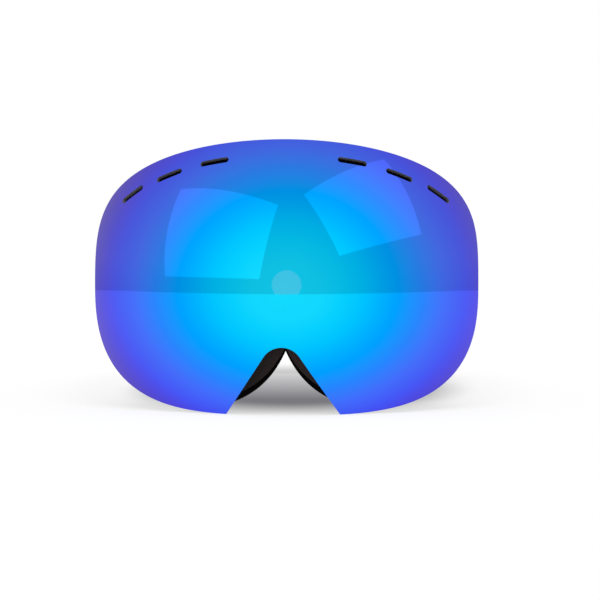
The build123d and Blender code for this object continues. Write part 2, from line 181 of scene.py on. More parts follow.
def apply_modifiers(piece):
    """Makes what the modifiers show the piece's own mesh."""
    bpy.context.view_layer.update()
    shown = piece.evaluated_get(bpy.context.evaluated_depsgraph_get())
    mesh = bpy.data.meshes.new_from_object(shown)
    mesh.name = piece.name
    piece.modifiers.clear()
    piece.data = mesh


# %% [markdown]
# ## Shader maths in plain Python
#
# A pattern is easier to read as a formula than as a picture of nodes. This class wraps one output
# socket, and each operator adds the Math node that does it.


# %% One class for node sockets
class Sock:
    """An output socket in a node tree, with arithmetic that adds Math nodes."""

    def __init__(self, tree, socket):
        self.tree, self.socket = tree, socket

    def node(self, kind, settings=None, out=0, **inputs):
        """Any node: its settings are set first, then its inputs, by name or as _0, _1 by place."""
        made = self.tree.nodes.new(kind)
        for name, value in (settings or {}).items():
            if name == "stops":
                ramp = made.color_ramp.elements
                while len(ramp) < len(value):
                    ramp.new(1.0)
                for element, (place, colour) in zip(ramp, value):
                    element.position, element.color = place, (*colour, 1)
            else:
                setattr(made, name, value)
        for name, value in inputs.items():
            key = int(name[1:]) if name[0] == "_" else name.replace("_", " ")
            if isinstance(value, Sock):
                self.tree.links.new(value.socket, made.inputs[key])
            else:
                made.inputs[key].default_value = value
        return Sock(self.tree, made.outputs[out])

    def math(self, operation, *values):
        return self.node("ShaderNodeMath", {"operation": operation},
                         **{f"_{i}": v for i, v in enumerate(values)})

    def __add__(self, other): return self.math("ADD", self, other)
    def __radd__(self, other): return self.math("ADD", other, self)
    def __sub__(self, other): return self.math("SUBTRACT", self, other)
    def __rsub__(self, other): return self.math("SUBTRACT", other, self)
    def __mul__(self, other): return self.math("MULTIPLY", self, other)
    def __rmul__(self, other): return self.math("MULTIPLY", other, self)
    def __truediv__(self, other): return self.math("DIVIDE", self, other)
    def __pow__(self, other): return self.math("POWER", self, other)

    def sin(self): return self.math("SINE", self)
    def abs(self): return self.math("ABSOLUTE", self)
    def clamp(self): return self.math("MINIMUM", self.math("MAXIMUM", self, 0.0), 1.0)


def tint(mask, low, high):
    """A colour that goes from low to high with the mask."""
    return mask.node("ShaderNodeMix", {"data_type": "RGBA"}, out=2, _0=mask, _6=(*low, 1), _7=(*high, 1))


# %% A material and the sockets that most of them use
class Finish:
    """A material under construction: its shader, its place sockets and its outputs."""

    def __init__(self, name, **constants):
        self.material = bpy.data.materials.new(name)
        self.material.use_nodes = True
        self.tree = self.material.node_tree
        self.shader = self.tree.nodes["Principled BSDF"]
        for key, value in constants.items():
            self.shader.inputs[key.replace("_", " ")].default_value = value
        coordinates = self.tree.nodes.new("ShaderNodeTexCoord")
        self.place = Sock(self.tree, coordinates.outputs["Object"])
        self.uv = Sock(self.tree, coordinates.outputs["UV"])

    def xyz(self, where=None):
        split = self.tree.nodes.new("ShaderNodeSeparateXYZ")
        self.tree.links.new((where or self.place).socket, split.inputs[0])
        return [Sock(self.tree, output) for output in split.outputs]

    def noise(self, size, detail=2.0, rough=0.5, where=None):
        """Noise whose blotches are about this size, in metres."""
        return self.place.node("ShaderNodeTexNoise", Vector=where or self.place,
                               Scale=1 / size, Detail=detail, Roughness=rough)

    def feed(self, **inputs):
        for name, value in inputs.items():
            self.tree.links.new(value.socket, self.shader.inputs[name.replace("_", " ")])

    def bump(self, height, distance, strength=1.0):
        self.feed(Normal=self.place.node("ShaderNodeBump", Height=height, Distance=distance,
                                         Strength=strength))


# %% [markdown]
# ## The camera
#
# The goggles are seen from straight in front, a touch from the wearer's left and above, through a
# long lens that keeps the rounded shape from bulging. The camera aims at the middle of the lens.

# %% Camera
camera_distance, camera_yaw, camera_rise = 1.0, math.radians(2.81), math.radians(2.0)
aim = Vector((0, lens_front + 22 * mm, hub_height))
back = Vector((math.sin(camera_yaw) * math.cos(camera_rise),
               -math.cos(camera_yaw) * math.cos(camera_rise), math.sin(camera_rise)))
camera = bpy.data.objects.new("camera", bpy.data.cameras.new("camera"))
camera.location = aim + camera_distance * back
camera.rotation_euler = (-back).to_track_quat("-Z", "Y").to_euler()
camera.data.lens = 133.9
camera.data.shift_x, camera.data.shift_y = 0.0277, -0.0212
bpy.context.scene.collection.objects.link(camera)
bpy.context.scene.camera = camera
bpy.context.scene.view_settings.view_transform = "Standard"
print("camera at", [round(c, 3) for c in camera.location])

# %% [markdown]
# ## The studio
#
# The goggles stand on a round white table. A mirror lens shows its surroundings, so the
# surroundings are half of its look: the bright table, a slightly darker room above it, two soft
# boxes to the left and right of the camera and a small lamp in front. The background is plain
# white. The table glows, so that it is as white as the background, and takes only a part of the
# shadow. The rest is a soft pool that is painted on it, behind the lens.


# %% Stage pieces
def stage_plane(name, size_x, size_y, matrix):
    bm = bmesh.new()
    bmesh.ops.create_grid(bm, x_segments=1, y_segments=1, size=0.5,
                          matrix=matrix @ Matrix.Diagonal((size_x, size_y, 1, 1)))
    plane = make_piece(name, bm)
    return plane


def glow(name, colour, strength):
    material = bpy.data.materials.new(name)
    material.use_nodes = True
    material.node_tree.nodes.clear()
    emission = material.node_tree.nodes.new("ShaderNodeEmission")
    emission.inputs["Color"].default_value = (*colour, 1)
    emission.inputs["Strength"].default_value = strength
    output = material.node_tree.nodes.new("ShaderNodeOutputMaterial")
    material.node_tree.links.new(emission.outputs[0], output.inputs["Surface"])
    return material


def stage_disc(name, radius_x, radius_y, matrix):
    bm = bmesh.new()
    bmesh.ops.create_circle(bm, segments=128, radius=1, cap_ends=True,
                            matrix=matrix @ Matrix.Diagonal((radius_x, radius_y, 1, 1)))
    disc = make_piece(name, bm)
    return disc


sphere_centre = Vector((0, lens_front + lens_radius, hub_height))
table_middle = Vector((0, lens_front + 0.22, lens_low.z))
table = stage_disc("table", 1.0, 0.9, Matrix.Translation(table_middle))
table_finish = Finish("table_white", Roughness=0.9)
table_finish.shader.inputs["Specular IOR Level"].default_value = 0.0
# The painted shadow is a pool: an ellipse behind the lens, soft at its edge and paler towards the back.
pool_half_wide, pool_half_deep, pool_middle = 88 * mm, 170 * mm, 190 * mm
pool_edge, pool_softness = 1.10, 0.48
fade_start, fade_length = 100 * mm, 310 * mm
shadow_pool_tone, table_tone, diffuse_share = (0.24, 0.24, 0.26), 0.93, 0.29
x, y, _ = table_finish.xyz()
depth = y - lens_front
across, behind = x / pool_half_wide, (depth - pool_middle) / pool_half_deep
away = table_finish.place.math("SQRT", across * across + behind * behind)
near = ((pool_edge - away) / pool_softness).clamp()
shade = near * near * (3 - 2 * near) * (1 - (depth - fade_start) / fade_length).clamp()
shadow_pool = tint(shade, (1, 1, 1), shadow_pool_tone)
table_finish.feed(Base_Color=shadow_pool.node("ShaderNodeVectorMath", {"operation": "SCALE"}, _0=shadow_pool,
                                       Scale=table_tone))
# The glow carries the same painted shadow as the colour.
glow_white = table_finish.tree.nodes.new("ShaderNodeEmission")
table_finish.tree.links.new(shadow_pool.socket, glow_white.inputs["Color"])
glow_white.inputs["Strength"].default_value = 1.02
blend = table_finish.tree.nodes.new("ShaderNodeMixShader")
blend.inputs[0].default_value = diffuse_share
table_finish.tree.links.new(glow_white.outputs[0], blend.inputs[1])
table_finish.tree.links.new(table_finish.shader.outputs[0], blend.inputs[2])
table_finish.tree.links.new(blend.outputs[0], table_finish.tree.nodes["Material Output"].inputs["Surface"])
table.data.materials.append(table_finish.material)


# %% Soft boxes, which only the lens sees
def soft_box(name, azimuth, rise, half_wide, half_high, roll, strength, distance=1.4):
    """A glowing panel that faces the goggles from this direction; sizes are shares of its distance."""
    a, e = math.radians(azimuth), math.radians(rise)
    toward = Vector((math.sin(a) * math.cos(e), -math.cos(a) * math.cos(e), math.sin(e)))
    turn = toward.to_track_quat("Z", "Y").to_matrix().to_4x4() @ Matrix.Rotation(math.radians(roll), 4, "Z")
    place = Matrix.Translation(sphere_centre + toward * distance) @ turn
    panel = stage_plane(name, 2 * half_wide * distance, 2 * half_high * distance, place)
    panel.data.materials.append(glow(name + "_glow", (1, 1, 1), strength))
    panel.visible_camera = False
    panel.visible_diffuse = False
    panel.visible_shadow = False
    return panel


soft_box("soft_box_left", -37.4, 23.1, 0.482, 0.366, 0, 1.04)
soft_box("soft_box_right", 45.8, 35.6, 0.436, 0.326, 9, 1.04)

lamp = stage_disc("front_lamp", 0.17, 0.17, Matrix.Translation(sphere_centre + Vector((0, -1.4, 0)))
                  @ Matrix.Rotation(math.radians(90), 4, "X"))
lamp.data.materials.append(glow("front_lamp_glow", (1, 0.1, 0.1), 8))
lamp.visible_camera = False
lamp.visible_diffuse = False
lamp.visible_shadow = False

# %% The room's light
world = bpy.data.worlds.new("room")
bpy.context.scene.world = world
world.use_nodes = True
world.node_tree.nodes.clear()
w = world.node_tree
path = w.nodes.new("ShaderNodeLightPath")
seen = Sock(w, path.outputs["Is Camera Ray"])
mirrored = Sock(w, path.outputs["Is Glossy Ray"])
sky = w.nodes.new("ShaderNodeTexCoord")
split = w.nodes.new("ShaderNodeSeparateXYZ")
w.links.new(sky.outputs["Generated"], split.inputs[0])
height = Sock(w, split.outputs["Z"])
overhead = 0.34 + height.math("MAXIMUM", height, 0.0) * 0.30
room = seen * 1.0 + (1 - seen) * (mirrored * 0.78 + (1 - mirrored) * overhead)
background = w.nodes.new("ShaderNodeBackground")
background.inputs["Color"].default_value = (1, 1, 1, 1)
w.links.new(room.socket, background.inputs["Strength"])
output = w.nodes.new("ShaderNodeOutputWorld")
w.links.new(background.outputs[0], output.inputs["Surface"])

# %% A broad key light from the front, which the mirror doesn't show
key = bpy.data.objects.new("key_light", bpy.data.lights.new("key_light", "SUN"))
key.data.energy = 2.15
key.data.angle = math.radians(50)
key.rotation_euler = (-Vector((0.05, -0.62, 0.78))).to_track_quat("-Z", "Y").to_euler()
key.visible_glossy = False
bpy.context.scene.collection.objects.link(key)
print("studio ready")

# %% [markdown]
# ## The outer lens
#
# It is a 1.8 mm shell of polycarbonate with six slots along the brow. The polar mesh a mirror
# needs comes from spinning one spoke into a disc, then giving every point its share of the way to
# the outline and dropping it on the sphere. The slots are cut with rounded cutters, a Bevel
# polishes the edges, and the normals of the front are set straight from the sphere, so that the
# reflections run over it without a ripple.


# %% The disc becomes a piece of the sphere
def on_sphere(x, z, radius):
    """A point of the lens's sphere, in the frame's own axes."""
    y = lens_front + lens_radius - math.sqrt(max(radius**2 - x**2 - z**2, 0))
    return Vector((x, y, hub_height + z))


def all_round(half):
    """From half an outline to a whole one: down the +X side from the brow, and up the other."""
    return half + [(-x, z) for x, z in reversed(half[1:-1])]


def lens_disc(rings, radius, inset, hub_z, steps):
    """A polar mesh of the lens at this radius of the sphere."""
    edge = all_round(notch_half(steps, inset))
    bm = bmesh.new()
    spoke = [bm.verts.new((k / rings, 0, 0)) for k in range(rings + 1)]
    for a, b in zip(spoke, spoke[1:]):
        bm.edges.new((a, b))
    bmesh.ops.spin(bm, geom=bm.verts[:] + bm.edges[:], axis=(0, 1, 0), cent=(0, 0, 0),
                   dvec=(0, 0, 0), angle=2 * math.pi, steps=len(edge), use_merge=True,
                   use_duplicate=False)
    bmesh.ops.remove_doubles(bm, verts=bm.verts, dist=1e-6)
    for vert in bm.verts:
        share = math.hypot(vert.co.x, vert.co.z)
        turn = math.atan2(vert.co.x, vert.co.z) % (2 * math.pi)
        x, z = edge[round(turn / (2 * math.pi) * len(edge)) % len(edge)]
        vert.co = on_sphere(share * x, hub_z + share * (z - hub_z), radius)
    return bm


lens_wall = 1.8 * mm
lens_bm = lens_disc(44, lens_radius, 0, 10 * mm, outline_steps)
bmesh.ops.recalc_face_normals(lens_bm, faces=lens_bm.faces)
if lens_bm.faces[0].normal.y > 0:
    bmesh.ops.reverse_faces(lens_bm, faces=lens_bm.faces)
bmesh.ops.solidify(lens_bm, geom=lens_bm.faces[:], thickness=lens_wall)
outer_lens = make_piece("mirror_lens", lens_bm)

# %% Cut the slots
slot_length, slot_width, cutter_depth = 13.5 * mm, 2.9 * mm, 12 * mm
# Each slot's place in degrees up, its distance in from the rim, and its turn from the rim.
slots = ((61.2, 7.6 * mm, 0.0), (44.1, 8.0 * mm, 0.0), (31.0, 6.6 * mm, 7.0))


def slot_cutter(angle, inset, turn, side):
    """A rounded bar that stands square to the lens where the slot is."""
    def at(a):
        reach = oval_reach(a, half_width - inset, lens_top - inset, upper_shape)
        return reach * math.cos(a), reach * math.sin(a)

    x, z = at(math.radians(angle))
    ahead = at(math.radians(angle) - 0.01)
    heading = math.atan2(ahead[1] - z, ahead[0] - x) + math.radians(turn)
    run, rise = math.cos(heading), math.sin(heading)
    place = on_sphere(x, z, lens_radius)
    outward = (place - sphere_centre).normalized()
    along = Vector((run, (x * run + z * rise) / (sphere_centre.y - place.y), rise)).normalized()
    across = outward.cross(along)
    bm = bmesh.new()
    half, reach = slot_width / 2, (slot_length - slot_width) / 2
    bmesh.ops.create_circle(bm, segments=32, radius=half, cap_ends=True)
    for vert in bm.verts:
        if abs(vert.co.x) > 1e-9:
            vert.co.x += math.copysign(reach, vert.co.x)
    lifted = bmesh.ops.extrude_face_region(bm, geom=bm.faces[:])
    top = [v for v in lifted["geom"] if isinstance(v, bmesh.types.BMVert)]
    bmesh.ops.translate(bm, verts=top, vec=(0, 0, cutter_depth))
    bmesh.ops.translate(bm, verts=bm.verts, vec=(0, 0, -cutter_depth / 2))
    axes = Matrix((along, across, outward)).transposed().to_4x4()
    bmesh.ops.transform(bm, matrix=Matrix.Translation(place) @ axes, verts=bm.verts)
    if side < 0:
        bmesh.ops.scale(bm, vec=(-1, 1, 1), verts=bm.verts)
    return make_piece("slot_cutter", bm)


def cut(piece, cutters):
    for cutter in cutters:
        boolean = piece.modifiers.new("slot", "BOOLEAN")
        boolean.operation, boolean.solver, boolean.object = "DIFFERENCE", "EXACT", cutter
    apply_modifiers(piece)
    for cutter in cutters:
        bpy.data.objects.remove(cutter)


cut(outer_lens, [slot_cutter(*slot, side) for slot in slots for side in (1, -1)])


# %% Polish the edges and true the normals
def true_sphere_normals(piece, radii):
    """Faces that lie on one of these spheres shade as the sphere itself."""
    mesh = piece.data
    reach = [(v.co - sphere_centre).length for v in mesh.vertices]
    on = [next((r for r in radii if abs(d - r) < 0.02 * mm), None) for d in reach]
    normals = [Vector(n.vector) for n in mesh.corner_normals]
    for face in mesh.polygons:
        corners = face.vertices
        kinds = {on[i] for i in corners}
        if len(kinds) == 1 and None not in kinds:
            sign = 1 if face.normal.dot(face.center - sphere_centre) > 0 else -1
            for loop in face.loop_indices:
                point = mesh.vertices[mesh.loops[loop].vertex_index].co
                normals[loop] = sign * (point - sphere_centre).normalized()
    mesh.normals_split_custom_set(normals)


def bevel(piece, width, segments=2, degrees=40):
    """Rounds the edges that turn by more than this angle."""
    bm = bmesh.new()
    bm.from_mesh(piece.data)
    bmesh.ops.dissolve_degenerate(bm, dist=1e-6, edges=bm.edges)
    sharp = [e for e in bm.edges if len(e.link_faces) == 2 and e.calc_face_angle(0) > math.radians(degrees)]
    bmesh.ops.bevel(bm, geom=sharp, offset=width, offset_type="OFFSET", segments=segments, profile=0.5,
                    affect="EDGES", clamp_overlap=True, material=-1)
    for face in bm.faces:
        face.smooth = True
    bm.to_mesh(piece.data)
    bm.free()
    print(piece.name, "bevelled,", len(sharp), "edges")


bevel(outer_lens, 0.3 * mm, 2)
true_sphere_normals(outer_lens, (lens_radius, lens_radius - lens_wall))
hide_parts("outer_lens")
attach(outer_lens, "lens_unit")

# %% [markdown]
# ## The mirror coating
#
# A coloured mirror coat reflects its own hue: cyan in the middle, then azure, then violet at the
# rim, where the coating is seen at a slant. A metal with a colour that depends on the distance
# from the middle of the lens does this, and the reflections take care of the rest.

# %% Mirror coat
coat = Finish("mirror_coat", Metallic=1.0)
x, y, z = coat.xyz()
# The colours spread in ovals from a point near the middle, and change faster below it than above.
coat_middle_x, coat_middle_z = 2.5 * mm, hub_height - 2 * mm
pace_above, pace_below = 1.08, 1.33
lift = z - coat_middle_z
tall = lift.math("MAXIMUM", lift, 0.0) * pace_above + lift.math("MINIMUM", lift, 0.0) * pace_below
spread = coat.place.math("SQRT", (x - coat_middle_x) ** 2.0 + tall ** 2.0)
coat_stops = (
    (0, (0.006, 0.694, 0.98)), (15, (0.006, 0.672, 0.98)), (24, (0.002, 0.624, 0.98)),
    (33, (0.0, 0.546, 0.98)), (42, (0.0, 0.429, 0.98)), (51, (0.0, 0.330, 0.98)),
    (60.5, (0.002, 0.215, 0.975)), (70, (0.034, 0.135, 0.95)), (79.5, (0.036, 0.070, 0.90)),
    (84, (0.045, 0.044, 0.80)), (92, (0.050, 0.018, 0.56)), (100, (0.05, 0.01, 0.42)),
)
reach = 100 * mm
hue = coat.place.node("ShaderNodeValToRGB", {"stops": [(r * mm / reach, c) for r, c in coat_stops]},
                      Fac=spread / reach)
smear = coat.noise(18 * mm, 3.0)
# A clear coat adds white reflections towards the rim, and more of them above the middle.
clear_start, clear_width = 49 * mm, 13 * mm
upper = (lift / (15 * mm)).clamp()
clear_coat = ((spread - clear_start) / clear_width).clamp() * (0.5 + upper * 0.3)
coat.feed(Base_Color=hue, Roughness=0.028 + smear * 0.02, Coat_Weight=clear_coat)
smoke = Finish("smoke_lens_back", IOR=1.58)
haze = smoke.noise(25 * mm, 3.0)
smoke.feed(Base_Color=tint(haze, (0.018, 0.020, 0.026), (0.028, 0.030, 0.036)), Roughness=0.05 + haze * 0.06)
outer_lens.data.materials.clear()
outer_lens.data.materials.append(coat.material)
outer_lens.data.materials.append(smoke.material)
edge = Finish("lens_edge", IOR=1.58)
saw = edge.noise(1.5 * mm, 4.0)
edge.feed(Base_Color=tint(saw, (0.10, 0.10, 0.12), (0.17, 0.17, 0.20)), Roughness=0.28 + saw * 0.2)
outer_lens.data.materials.append(edge.material)
for face in outer_lens.data.polygons:
    away = (face.center - sphere_centre).normalized()
    facing = face.normal.dot(away)
    face.material_index = 0 if facing > 0.6 else 1 if facing < -0.6 else 2

# %% [markdown]
# ## Moulded parts: frame, carrier, arms, adjusters
#
# These arrive as exact solids with knife edges. Real mouldings have small radii and a fine spark-
# eroded grain. A copy of each solid is merged and bevelled and then stands for it, because light
# catching on a rounded edge is what tells the eye that a part is plastic. The grain is a bump.


# %% Dress a solid of the frame
def dressed(node, body, width, degrees=35, segments=2):
    """A merged, bevelled copy of a frame solid, which takes its place."""
    bm = bmesh.new()
    bm.from_mesh(bpy.data.objects[node].data)
    bmesh.ops.remove_doubles(bm, verts=bm.verts, dist=2e-6)
    bmesh.ops.dissolve_limit(bm, angle_limit=math.radians(1.0), verts=bm.verts, edges=bm.edges)
    piece = make_piece(node + "_dressed", bm)
    if width:
        bevel(piece, width, segments, degrees)
    piece.data.materials.clear()
    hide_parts(node)
    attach(piece, body)
    return piece


def paint(piece, finish):
    piece.data.materials.clear()
    piece.data.materials.append(finish.material)


# %% Moulded finishes
def moulded(name, tone, shine, grain, depth):
    """Injection-moulded plastic: grain of this size, and broad patches where it has been handled."""
    finish = Finish(name, IOR=1.5)
    patches = finish.noise(14 * mm, 4.0, 0.6)
    finish.feed(Base_Color=tint(patches, [0.7 * tone] * 3, [1.35 * tone] * 3),
                Roughness=shine + (patches - 0.5) * 0.18)
    finish.bump(finish.noise(grain, 3.0) + finish.noise(9 * mm) * 0.6, depth)
    return finish


frame_finish = moulded("soft_polyurethane", 0.005, 0.58, 0.5 * mm, 0.05 * mm)
nylon_finish = moulded("satin_nylon", 0.014, 0.40, 0.35 * mm, 0.03 * mm)
carrier_finish = moulded("carrier_nylon", 0.010, 0.45, 0.4 * mm, 0.03 * mm)

frame_piece = dressed("face_frame", "face_frame", 0.35 * mm)
paint(frame_piece, frame_finish)
carrier_piece = dressed("lens_carrier", "lens_unit", 0.2 * mm)
paint(carrier_piece, carrier_finish)
for side in ("left", "right"):
    arm = dressed("strap_arm_" + side, "arm_" + side, 0.45 * mm)
    paint(arm, nylon_finish)
    adjuster = dressed("strap_adjuster_" + side, "adjuster_" + side, 0.35 * mm)
    paint(adjuster, nylon_finish)

# %% [markdown]
# ## Small parts that keep their own solids
#
# The hinge pins, the inner lens and the silicone beads have the right shape already. They only get
# their materials: turned steel with its fine rings, clear plastic with the faint film of an
# anti-fog coat, and satin silicone.

# %% Steel, clear lens, silicone
steel = Finish("turned_steel", Metallic=1.0)
x, y, z = steel.xyz()
rings = (z * (2 * math.pi / (0.35 * mm)) + steel.noise(3 * mm) * 2).sin()
wear = steel.noise(1.2 * mm, 4.0)
steel.feed(Base_Color=tint(wear, (0.38, 0.385, 0.40), (0.62, 0.62, 0.61)), Roughness=0.26 + wear * 0.14)
steel.bump(rings, 0.01 * mm)

clear = Finish("clear_lens", IOR=1.58, Coat_Weight=0.4)
film = clear.noise(22 * mm, 3.0)
clear.feed(Base_Color=tint(film, (0.10, 0.12, 0.14), (0.20, 0.22, 0.24)),
           Roughness=0.04 + film * 0.05, Alpha=0.20 + film * 0.05)

silicone = Finish("silicone", IOR=1.42)
dust = silicone.noise(4 * mm, 4.0)
silicone.feed(Base_Color=tint(dust, (0.045, 0.046, 0.05), (0.085, 0.086, 0.09)), Roughness=0.30 + dust * 0.2)
silicone.bump(silicone.noise(0.8 * mm), 0.02 * mm)

for node, finish in (("hinge_pin_left", steel), ("hinge_pin_right", steel),
                     ("inner_lens", clear), ("strap_grip", silicone)):
    paint(bpy.data.objects[node], finish)

# %% [markdown]
# ## Foam
#
# The face foam is three closed rings that follow the outline, cut to the curve of the face. Each
# could be a bevelled copy of its solid, but the solid's triangles fan out over the whole face and
# would pinch any soft rounding. A grid that runs once round the outline and once round a rounded
# section gives even quads. The outline at any depth lies between two outlines, one far in front
# and one far behind, just as the frame itself is drawn.

# %% Sizes of the foam
face_margin = 7 * mm                           # how much wider than the lens the face's curve is
face_radius = half_width + face_margin
foam_seat = 42 * mm                            # lens front to the front of the foam, in the middle
foam_layers = {"foam_base": 7 * mm, "foam_mid": 6 * mm, "foam_fleece": 2 * mm}
foam_rounding = {"foam_base": 1.2 * mm, "foam_mid": 2.2 * mm, "foam_fleece": 0.95 * mm}
foam_inset, foam_hole_inset = 0.1 * mm, 16 * mm
nose_top, nose_half_width, nose_bulge = -30.2 * mm, 30 * mm, 4.5 * mm
far_front, far_back = -12 * mm, 130 * mm


def pointed_half(steps, inset, depth):
    """As notch_half, but the two sides bow towards each other and meet in a point over the nose."""
    spread = inset + notch_flare * (depth - foam_seat)
    foot_x, drop = nose_half_width + spread, lens_bottom + nose_top
    corner = cheek_corner(inset, depth, lambda z: foot_x)
    foot = Vector(cheek_point(corner, inset, depth))
    top = Vector((0, nose_top + spread))
    reach = math.hypot(foot_x, drop)
    bow = Vector((foot_x / 2 - nose_bulge * drop / reach, top.y - drop / 2 - nose_bulge * foot_x / reach))
    guide = 2 * bow - (foot + top) / 2
    points = [brow_point(math.radians(90) * (1 - t), inset, depth) for t in share_out(steps[0])]
    points += [cheek_point(corner * t, inset, depth) for t in share_out(steps[1])]
    points += [tuple((1 - t) ** 2 * foot + 2 * t * (1 - t) * guide + t**2 * top)
               for t in share_out(steps[2]) + [1]]
    return points


# %% A rounded section and a grid to wrap along it
def round_section(flat_steps, wall_steps, corner_steps=3):
    """Points round an oblong: which corner or flat (a, b), and which way it is rounded (c, d)."""
    section, corners = [], [(0, 0), (1, 0), (1, 1), (0, 1)]
    for k, (a, b) in enumerate(corners):
        for n in range(corner_steps + 1):
            turn = math.radians(180 + 90 * (k + n / corner_steps))
            section.append((a, b, math.cos(turn), math.sin(turn)))
        c, d = section[-1][2:]
        a2, b2 = corners[(k + 1) % 4]
        for t in share_out(wall_steps if k % 2 else flat_steps)[1:]:
            section.append((a + (a2 - a) * t, b + (b2 - b) * t, c, d))
    return section


def wrap_grid(name, cols, rows, place, length, width, sharp=60):
    """A grid whose corner (i, j) goes to place(i, j); its UV map is in metres, for woven patterns."""
    bm = bmesh.new()
    uv = bm.loops.layers.uv.new("UVMap")
    bmesh.ops.create_grid(bm, x_segments=cols, y_segments=rows, size=0.5, calc_uvs=True)
    for face in bm.faces:
        for loop in face.loops:
            loop[uv].uv = ((loop.vert.co.x + 0.5) * length, (loop.vert.co.y + 0.5) * width)
    for vert in bm.verts:
        vert.co = place(round((vert.co.x + 0.5) * cols), round((vert.co.y + 0.5) * rows))
    bmesh.ops.remove_doubles(bm, verts=bm.verts, dist=1e-6)
    bmesh.ops.holes_fill(bm, edges=[e for e in bm.edges if e.is_boundary], sides=0)
    return make_piece(name, bm, sharp)


# %% The three rings
def face_depth(x, depth):
    """The depth of the face's curve at this distance from the middle."""
    return depth + face_radius - math.sqrt(face_radius**2 - x**2)


def foam_ring(name, start, thick, rounding):
    steps = (56, 36, 26)
    ends = [(all_round(pointed_half(steps, foam_inset, depth)),
             all_round(notch_half(steps, foam_hole_inset, depth))) for depth in (far_front, far_back)]
    section = round_section(9, 4)
    around = len(ends[0][0])

    def place(i, j):
        a, b, c, d = section[j % len(section)]
        down = rounding + b * (thick - 2 * rounding) + d * rounding
        y = start + down
        for _ in range(4):
            t = (y - far_front) / (far_back - far_front)
            outer, inner = (Vector(front[i % around]).lerp(Vector(rear[i % around]), t)
                            for front, rear in zip(*ends))
            wide = (inner - outer).length
            point = outer.lerp(inner, (rounding + a * (wide - 2 * rounding) + c * rounding) / wide)
            y = face_depth(point.x, start + down)
        return Vector((point.x, lens_front + y, hub_height + point.y))

    piece = wrap_grid(name + "_ring", around, len(section), place, 0.5, 0.06)
    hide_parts(name)
    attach(piece, "face_frame")
    return piece


foam_pieces, start = {}, foam_seat
for name, thick in foam_layers.items():
    foam_pieces[name] = foam_ring(name, start, thick, foam_rounding[name])
    start += thick

for node in ("vent_foam_top", "vent_foam_low"):
    foam_pieces[node] = dressed(node, "face_frame", 0.5 * mm)
foam_pieces["lens_gasket"] = dressed("lens_gasket", "lens_unit", 0.3 * mm)

# %% [markdown]
# ### Foam and fleece textures
#
# Open-cell foam is a froth of Voronoi cells: the pores are sunken in the bump and painted darker than
# the paler walls, as painted shade in the holes. Fleece is a nap of fibres, so its noise is stretched
# along the way it was brushed and broken up by a finer one.
# The sheen along its rim comes from the shader itself.


# %% Froth and nap
def froth(name, tone, cell, depth):
    finish = Finish(name, Roughness=0.95)
    finish.shader.inputs["Specular IOR Level"].default_value = 0.05
    wobble = finish.noise(2.5 * cell)
    shift = wobble.node("ShaderNodeVectorMath", {"operation": "SCALE"}, _0=wobble, Scale=0.4 * cell)
    warp = wobble.node("ShaderNodeVectorMath", {"operation": "ADD"}, _0=finish.place, _1=shift)
    cells = finish.place.node("ShaderNodeTexVoronoi", {"feature": "F1"}, Vector=warp, Scale=1 / cell)
    pores = finish.place.node("ShaderNodeTexVoronoi", {"feature": "F1"}, Vector=warp, Scale=0.37 / cell)
    height = cells.clamp() * 0.7 + pores.clamp() * 0.3
    # The pores are painted darker and the walls paler: painted shade in the holes of the froth.
    finish.feed(Base_Color=tint(height, [0.35 * tone] * 3, [1.5 * tone] * 3))
    finish.bump(height, depth)
    return finish


foam_finish = froth("open_cell_foam", 0.0032, 0.8 * mm, 0.35 * mm)
vent_finish = froth("coarse_filter_foam", 0.018, 1.4 * mm, 0.6 * mm)
tape_finish = froth("closed_cell_tape", 0.016, 0.4 * mm, 0.08 * mm)

fleece = Finish("brushed_fleece", Roughness=0.9, Sheen_Weight=0.55, Sheen_Roughness=0.5)
stretched = fleece.place.node("ShaderNodeMapping", Vector=fleece.place, Scale=(1.0, 1.0, 3.2))
nap = fleece.noise(1.5 * mm, 5.0, 0.7, stretched)
tufts = fleece.noise(0.45 * mm, 2.0)
pile = nap * 0.65 + tufts * 0.35
fleece.feed(Base_Color=tint(pile, (0.006, 0.006, 0.007), (0.045, 0.045, 0.05)))
fleece.bump(pile, 0.5 * mm)

for name, piece in foam_pieces.items():
    paint(piece, fleece if name == "foam_fleece" else tape_finish if name == "lens_gasket"
          else vent_finish if name.startswith("vent") else foam_finish)

# %% [markdown]
# ## The strap
#
# A 40 mm elastic webbing with cords along it. Each half of it is one length of webbing: it starts
# in a folded, stitched hem, runs forward as the inner layer, turns round the arm's bar and goes
# back as the outer layer to the middle of the back. Modelling it flat and bending it with a curve
# modifier would need a simulation for the turn, so the path is drawn instead, in the plane of the
# strap, and a ribbed section is carried along it.

# %% Sizes of the strap and its plane
droop = math.radians(6)
hinge_inset, hinge_behind, hinge_up = 5 * mm, 14.6 * mm, 5 * mm
hinge = Vector((half_width - hinge_inset, lens_front + side_depth + hinge_behind, hub_height + hinge_up))
bar_reach, bar_offset = 25.5 * mm, 2.4 * mm
band_x = hinge.x + bar_offset
inner_x = hinge.x - bar_offset
tail_x = band_x - 2.8 * mm
layers_part, tail_close, tail_end, hem = 32 * mm, 50 * mm, 114 * mm, 7 * mm
strap_straight = 115 * mm
strap_width, strap_thick = 40 * mm, 1.5 * mm
down_back = Vector((0, math.cos(droop), -math.sin(droop)))
up_across = Vector((0, math.sin(droop), math.cos(droop)))


def strap_point(x, back, up):
    return Vector((x, hinge.y, hinge.z)) + down_back * back + up_across * up


def arc(centre, radius, first, last, step):
    """Points of an arc in the strap's plane; angles in degrees from +X towards the back."""
    count = max(2, round(abs(math.radians(last - first)) * radius / step))
    turns = [math.radians(first + (last - first) * n / count) for n in range(count + 1)]
    return [(centre[0] + radius * math.cos(a), centre[1] + radius * math.sin(a)) for a in turns]


def line(a, b, step):
    count = max(1, round(math.dist(a, b) / step))
    return [tuple(p + (q - p) * n / count for p, q in zip(a, b)) for n in range(count + 1)]


